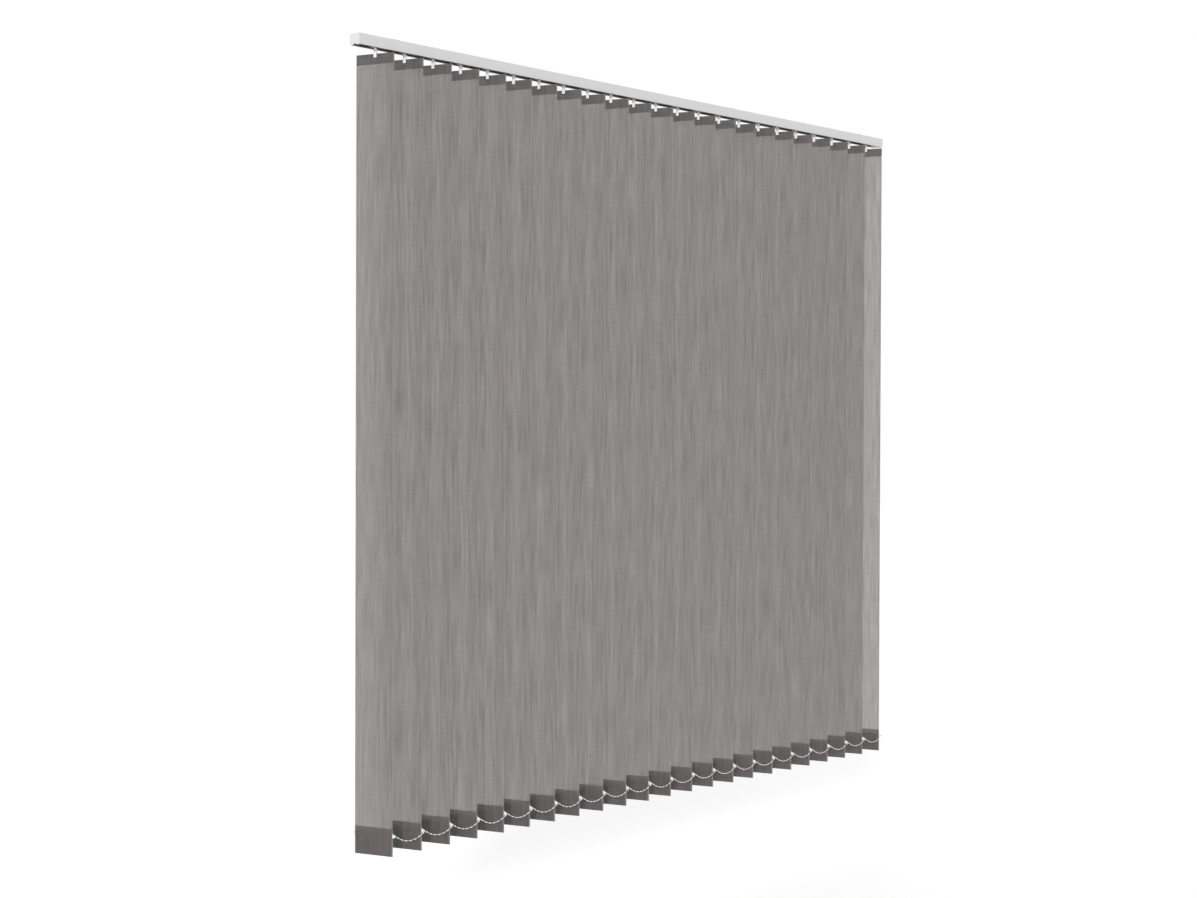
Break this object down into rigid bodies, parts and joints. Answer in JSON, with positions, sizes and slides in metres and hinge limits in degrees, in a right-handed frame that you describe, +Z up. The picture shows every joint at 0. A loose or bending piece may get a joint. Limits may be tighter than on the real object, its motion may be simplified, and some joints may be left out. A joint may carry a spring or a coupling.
{
  "type": "vertical blind",
  "caption": "Vertical blind with overlapping screen-fabric vanes on an aluminium headrail, link chains along both lower edges, tilting and drawing aside.",
  "frame": {"origin": "middle of the rail's length on the ceiling face of the mounting clips", "axes": "+X along the rail to the right as seen from the room, +Y away from the room, +Z up"},
  "size_m": [2.695, 0.1484, 2.369],
  "materials": {
    "rail": "satin powder coat",
    "white_plastic": "satin moulded",
    "clip_steel": "zinc plated",
    "rod_aluminium": "extruded",
    "carrier_plastic": "moulded",
    "vane_fabric": "woven screen fabric"
  },
  "bodies": {
    "rail": {"headrail": "rail", "control_end_cap": "white_plastic", "return_end_cap": "white_plastic", "mounting_clips": "clip_steel", "carrier_01": "carrier_plastic"},
    "tilt_rod": {"tilt_rod": "rod_aluminium", "tilt_sprocket": "carrier_plastic"},
    "carrier_02": {"carrier_02": "carrier_plastic"},
    "carrier_03": {"carrier_03": "carrier_plastic"},
    "carrier_04": {"carrier_04": "carrier_plastic"},
    "carrier_05": {"carrier_05": "carrier_plastic"},
    "carrier_06": {"carrier_06": "carrier_plastic"},
    "carrier_07": {"carrier_07": "carrier_plastic"},
    "carrier_08": {"carrier_08": "carrier_plastic"},
    "carrier_09": {"carrier_09": "carrier_plastic"},
    "carrier_10": {"carrier_10": "carrier_plastic"},
    "carrier_11": {"carrier_11": "carrier_plastic"},
    "carrier_12": {"carrier_12": "carrier_plastic"},
    "carrier_13": {"carrier_13": "carrier_plastic"},
    "carrier_14": {"carrier_14": "carrier_plastic"},
    "carrier_15": {"carrier_15": "carrier_plastic"},
    "carrier_16": {"carrier_16": "carrier_plastic"},
    "carrier_17": {"carrier_17": "carrier_plastic"},
    "carrier_18": {"carrier_18": "carrier_plastic"},
    "carrier_19": {"carrier_19": "carrier_plastic"},
    "carrier_20": {"carrier_20": "carrier_plastic"},
    "carrier_21": {"carrier_21": "carrier_plastic"},
    "carrier_22": {"carrier_22": "carrier_plastic"},
    "carrier_23": {"carrier_23": "carrier_plastic"},
    "vane_01": {"vane_01": "vane_fabric"},
    "vane_02": {"vane_02": "vane_fabric"},
    "vane_03": {"vane_03": "vane_fabric"},
    "vane_04": {"vane_04": "vane_fabric"},
    "vane_05": {"vane_05": "vane_fabric"},
    "vane_06": {"vane_06": "vane_fabric"},
    "vane_07": {"vane_07": "vane_fabric"},
    "vane_08": {"vane_08": "vane_fabric"},
    "vane_09": {"vane_09": "vane_fabric"},
    "vane_10": {"vane_10": "vane_fabric"},
    "vane_11": {"vane_11": "vane_fabric"},
    "vane_12": {"vane_12": "vane_fabric"},
    "vane_13": {"vane_13": "vane_fabric"},
    "vane_14": {"vane_14": "vane_fabric"},
    "vane_15": {"vane_15": "vane_fabric"},
    "vane_16": {"vane_16": "vane_fabric"},
    "vane_17": {"vane_17": "vane_fabric"},
    "vane_18": {"vane_18": "vane_fabric"},
    "vane_19": {"vane_19": "vane_fabric"},
    "vane_20": {"vane_20": "vane_fabric"},
    "vane_21": {"vane_21": "vane_fabric"},
    "vane_22": {"vane_22": "vane_fabric"},
    "vane_23": {"vane_23": "vane_fabric"},
    "front_chain": {"front_chain": "white_plastic"},
    "back_chain": {"back_chain": "white_plastic"}
  },
  "joints": [
    {"name": "rod_turn", "type": "hinge", "parent": "rail", "child": "tilt_rod", "pos_m": [0, 0.0065, -0.02075], "axis": [1, 0, 0], "range_deg": [-470, 310]},
    {"name": "carrier_02_travel", "type": "slide", "parent": "rail", "child": "carrier_02", "axis": [1, 0, 0], "range_m": [-0.095, 0]},
    {"name": "carrier_03_travel", "type": "slide", "parent": "rail", "child": "carrier_03", "axis": [1, 0, 0], "range_m": [-0.19, 0]},
    {"name": "carrier_04_travel", "type": "slide", "parent": "rail", "child": "carrier_04", "axis": [1, 0, 0], "range_m": [-0.285, 0]},
    {"name": "carrier_05_travel", "type": "slide", "parent": "rail", "child": "carrier_05", "axis": [1, 0, 0], "range_m": [-0.38, 0]},
    {"name": "carrier_06_travel", "type": "slide", "parent": "rail", "child": "carrier_06", "axis": [1, 0, 0], "range_m": [-0.475, 0]},
    {"name": "carrier_07_travel", "type": "slide", "parent": "rail", "child": "carrier_07", "axis": [1, 0, 0], "range_m": [-0.57, 0]},
    {"name": "carrier_08_travel", "type": "slide", "parent": "rail", "child": "carrier_08", "axis": [1, 0, 0], "range_m": [-0.665, 0]},
    {"name": "carrier_09_travel", "type": "slide", "parent": "rail", "child": "carrier_09", "axis": [1, 0, 0], "range_m": [-0.76, 0]},
    {"name": "carrier_10_travel", "type": "slide", "parent": "rail", "child": "carrier_10", "axis": [1, 0, 0], "range_m": [-0.855, 0]},
    {"name": "carrier_11_travel", "type": "slide", "parent": "rail", "child": "carrier_11", "axis": [1, 0, 0], "range_m": [-0.95, 0]},
    {"name": "carrier_12_travel", "type": "slide", "parent": "rail", "child": "carrier_12", "axis": [1, 0, 0], "range_m": [-1.045, 0]},
    {"name": "carrier_13_travel", "type": "slide", "parent": "rail", "child": "carrier_13", "axis": [1, 0, 0], "range_m": [-1.14, 0]},
    {"name": "carrier_14_travel", "type": "slide", "parent": "rail", "child": "carrier_14", "axis": [1, 0, 0], "range_m": [-1.235, 0]},
    {"name": "carrier_15_travel", "type": "slide", "parent": "rail", "child": "carrier_15", "axis": [1, 0, 0], "range_m": [-1.33, 0]},
    {"name": "carrier_16_travel", "type": "slide", "parent": "rail", "child": "carrier_16", "axis": [1, 0, 0], "range_m": [-1.425, 0]},
    {"name": "carrier_17_travel", "type": "slide", "parent": "rail", "child": "carrier_17", "axis": [1, 0, 0], "range_m": [-1.52, 0]},
    {"name": "carrier_18_travel", "type": "slide", "parent": "rail", "child": "carrier_18", "axis": [1, 0, 0], "range_m": [-1.615, 0]},
    {"name": "carrier_19_travel", "type": "slide", "parent": "rail", "child": "carrier_19", "axis": [1, 0, 0], "range_m": [-1.71, 0]},
    {"name": "carrier_20_travel", "type": "slide", "parent": "rail", "child": "carrier_20", "axis": [1, 0, 0], "range_m": [-1.805, 0]},
    {"name": "carrier_21_travel", "type": "slide", "parent": "rail", "child": "carrier_21", "axis": [1, 0, 0], "range_m": [-1.9, 0]},
    {"name": "carrier_22_travel", "type": "slide", "parent": "rail", "child": "carrier_22", "axis": [1, 0, 0], "range_m": [-1.995, 0]},
    {"name": "carrier_23_travel", "type": "slide", "parent": "rail", "child": "carrier_23", "axis": [1, 0, 0], "range_m": [-2.09, 0], "deforming": ["front_chain", "back_chain"]},
    {"name": "vane_01_tilt", "type": "hinge", "parent": "rail", "child": "vane_01", "pos_m": [-1.2685, 0, -0.034], "axis": [0, 0, 1], "range_deg": [-94, 62]},
    {"name": "vane_02_tilt", "type": "hinge", "parent": "carrier_02", "child": "vane_02", "pos_m": [-1.1535, 0, -0.034], "axis": [0, 0, 1], "range_deg": [-94, 62]},
    {"name": "vane_03_tilt", "type": "hinge", "parent": "carrier_03", "child": "vane_03", "pos_m": [-1.0385, 0, -0.034], "axis": [0, 0, 1], "range_deg": [-94, 62]},
    {"name": "vane_04_tilt", "type": "hinge", "parent": "carrier_04", "child": "vane_04", "pos_m": [-0.9235, 0, -0.034], "axis": [0, 0, 1], "range_deg": [-94, 62]},
    {"name": "vane_05_tilt", "type": "hinge", "parent": "carrier_05", "child": "vane_05", "pos_m": [-0.8085, 0, -0.034], "axis": [0, 0, 1], "range_deg": [-94, 62]},
    {"name": "vane_06_tilt", "type": "hinge", "parent": "carrier_06", "child": "vane_06", "pos_m": [-0.6935, 0, -0.034], "axis": [0, 0, 1], "range_deg": [-94, 62]},
    {"name": "vane_07_tilt", "type": "hinge", "parent": "carrier_07", "child": "vane_07", "pos_m": [-0.5785, 0, -0.034], "axis": [0, 0, 1], "range_deg": [-94, 62]},
    {"name": "vane_08_tilt", "type": "hinge", "parent": "carrier_08", "child": "vane_08", "pos_m": [-0.4635, 0, -0.034], "axis": [0, 0, 1], "range_deg": [-94, 62]},
    {"name": "vane_09_tilt", "type": "hinge", "parent": "carrier_09", "child": "vane_09", "pos_m": [-0.3485, 0, -0.034], "axis": [0, 0, 1], "range_deg": [-94, 62]},
    {"name": "vane_10_tilt", "type": "hinge", "parent": "carrier_10", "child": "vane_10", "pos_m": [-0.2335, 0, -0.034], "axis": [0, 0, 1], "range_deg": [-94, 62]},
    {"name": "vane_11_tilt", "type": "hinge", "parent": "carrier_11", "child": "vane_11", "pos_m": [-0.1185, 0, -0.034], "axis": [0, 0, 1], "range_deg": [-94, 62]},
    {"name": "vane_12_tilt", "type": "hinge", "parent": "carrier_12", "child": "vane_12", "pos_m": [-0.0035, 0, -0.034], "axis": [0, 0, 1], "range_deg": [-94, 62]},
    {"name": "vane_13_tilt", "type": "hinge", "parent": "carrier_13", "child": "vane_13", "pos_m": [0.1115, 0, -0.034], "axis": [0, 0, 1], "range_deg": [-94, 62]},
    {"name": "vane_14_tilt", "type": "hinge", "parent": "carrier_14", "child": "vane_14", "pos_m": [0.2265, 0, -0.034], "axis": [0, 0, 1], "range_deg": [-94, 62]},
    {"name": "vane_15_tilt", "type": "hinge", "parent": "carrier_15", "child": "vane_15", "pos_m": [0.3415, 0, -0.034], "axis": [0, 0, 1], "range_deg": [-94, 62]},
    {"name": "vane_16_tilt", "type": "hinge", "parent": "carrier_16", "child": "vane_16", "pos_m": [0.4565, 0, -0.034], "axis": [0, 0, 1], "range_deg": [-94, 62]},
    {"name": "vane_17_tilt", "type": "hinge", "parent": "carrier_17", "child": "vane_17", "pos_m": [0.5715, 0, -0.034], "axis": [0, 0, 1], "range_deg": [-94, 62]},
    {"name": "vane_18_tilt", "type": "hinge", "parent": "carrier_18", "child": "vane_18", "pos_m": [0.6865, 0, -0.034], "axis": [0, 0, 1], "range_deg": [-94, 62]},
    {"name": "vane_19_tilt", "type": "hinge", "parent": "carrier_19", "child": "vane_19", "pos_m": [0.8015, 0, -0.034], "axis": [0, 0, 1], "range_deg": [-94, 62]},
    {"name": "vane_20_tilt", "type": "hinge", "parent": "carrier_20", "child": "vane_20", "pos_m": [0.9165, 0, -0.034], "axis": [0, 0, 1], "range_deg": [-94, 62]},
    {"name": "vane_21_tilt", "type": "hinge", "parent": "carrier_21", "child": "vane_21", "pos_m": [1.0315, 0, -0.034], "axis": [0, 0, 1], "range_deg": [-94, 62]},
    {"name": "vane_22_tilt", "type": "hinge", "parent": "carrier_22", "child": "vane_22", "pos_m": [1.1465, 0, -0.034], "axis": [0, 0, 1], "range_deg": [-94, 62]},
    {"name": "vane_23_tilt", "type": "hinge", "parent": "carrier_23", "child": "vane_23", "pos_m": [1.2615, 0, -0.034], "axis": [0, 0, 1], "range_deg": [-94, 62]},
    {"name": "front_chain_swing", "type": "hinge", "parent": "vane_12", "child": "front_chain", "pos_m": [0.01858, -0.07211, -2.309], "axis": [0, 0, 1], "range_deg": [-62, 94]},
    {"name": "back_chain_swing", "type": "hinge", "parent": "vane_12", "child": "back_chain", "pos_m": [-0.02298, 0.07285, -2.309], "axis": [0, 0, 1], "range_deg": [-62, 94]}
  ],
  "couplings": [
    {"joint": "carrier_02_travel", "follows": "carrier_23_travel", "ratio": 0.045455},
    {"joint": "carrier_03_travel", "follows": "carrier_23_travel", "ratio": 0.090909},
    {"joint": "carrier_04_travel", "follows": "carrier_23_travel", "ratio": 0.13636},
    {"joint": "carrier_05_travel", "follows": "carrier_23_travel", "ratio": 0.18182},
    {"joint": "carrier_06_travel", "follows": "carrier_23_travel", "ratio": 0.22727},
    {"joint": "carrier_07_travel", "follows": "carrier_23_travel", "ratio": 0.27273},
    {"joint": "carrier_08_travel", "follows": "carrier_23_travel", "ratio": 0.31818},
    {"joint": "carrier_09_travel", "follows": "carrier_23_travel", "ratio": 0.36364},
    {"joint": "carrier_10_travel", "follows": "carrier_23_travel", "ratio": 0.40909},
    {"joint": "carrier_11_travel", "follows": "carrier_23_travel", "ratio": 0.45455},
    {"joint": "carrier_12_travel", "follows": "carrier_23_travel", "ratio": 0.5},
    {"joint": "carrier_13_travel", "follows": "carrier_23_travel", "ratio": 0.54545},
    {"joint": "carrier_14_travel", "follows": "carrier_23_travel", "ratio": 0.59091},
    {"joint": "carrier_15_travel", "follows": "carrier_23_travel", "ratio": 0.63636},
    {"joint": "carrier_16_travel", "follows": "carrier_23_travel", "ratio": 0.68182},
    {"joint": "carrier_17_travel", "follows": "carrier_23_travel", "ratio": 0.72727},
    {"joint": "carrier_18_travel", "follows": "carrier_23_travel", "ratio": 0.77273},
    {"joint": "carrier_19_travel", "follows": "carrier_23_travel", "ratio": 0.81818},
    {"joint": "carrier_20_travel", "follows": "carrier_23_travel", "ratio": 0.86364},
    {"joint": "carrier_21_travel", "follows": "carrier_23_travel", "ratio": 0.90909},
    {"joint": "carrier_22_travel", "follows": "carrier_23_travel", "ratio": 0.95455},
    {"joint": "vane_01_tilt", "follows": "vane_12_tilt", "ratio": 1},
    {"joint": "vane_02_tilt", "follows": "vane_12_tilt", "ratio": 1},
    {"joint": "vane_03_tilt", "follows": "vane_12_tilt", "ratio": 1},
    {"joint": "vane_04_tilt", "follows": "vane_12_tilt", "ratio": 1},
    {"joint": "vane_05_tilt", "follows": "vane_12_tilt", "ratio": 1},
    {"joint": "vane_06_tilt", "follows": "vane_12_tilt", "ratio": 1},
    {"joint": "vane_07_tilt", "follows": "vane_12_tilt", "ratio": 1},
    {"joint": "vane_08_tilt", "follows": "vane_12_tilt", "ratio": 1},
    {"joint": "vane_09_tilt", "follows": "vane_12_tilt", "ratio": 1},
    {"joint": "vane_10_tilt", "follows": "vane_12_tilt", "ratio": 1},
    {"joint": "vane_11_tilt", "follows": "vane_12_tilt", "ratio": 1},
    {"joint": "vane_13_tilt", "follows": "vane_12_tilt", "ratio": 1},
    {"joint": "vane_14_tilt", "follows": "vane_12_tilt", "ratio": 1},
    {"joint": "vane_15_tilt", "follows": "vane_12_tilt", "ratio": 1},
    {"joint": "vane_16_tilt", "follows": "vane_12_tilt", "ratio": 1},
    {"joint": "vane_17_tilt", "follows": "vane_12_tilt", "ratio": 1},
    {"joint": "vane_18_tilt", "follows": "vane_12_tilt", "ratio": 1},
    {"joint": "vane_19_tilt", "follows": "vane_12_tilt", "ratio": 1},
    {"joint": "vane_20_tilt", "follows": "vane_12_tilt", "ratio": 1},
    {"joint": "vane_21_tilt", "follows": "vane_12_tilt", "ratio": 1},
    {"joint": "vane_22_tilt", "follows": "vane_12_tilt", "ratio": 1},
    {"joint": "vane_23_tilt", "follows": "vane_12_tilt", "ratio": 1},
    {"joint": "rod_turn", "follows": "vane_12_tilt", "ratio": 5},
    {"joint": "front_chain_swing", "follows": "vane_12_tilt", "ratio": -1},
    {"joint": "back_chain_swing", "follows": "vane_12_tilt", "ratio": -1}
  ]
}
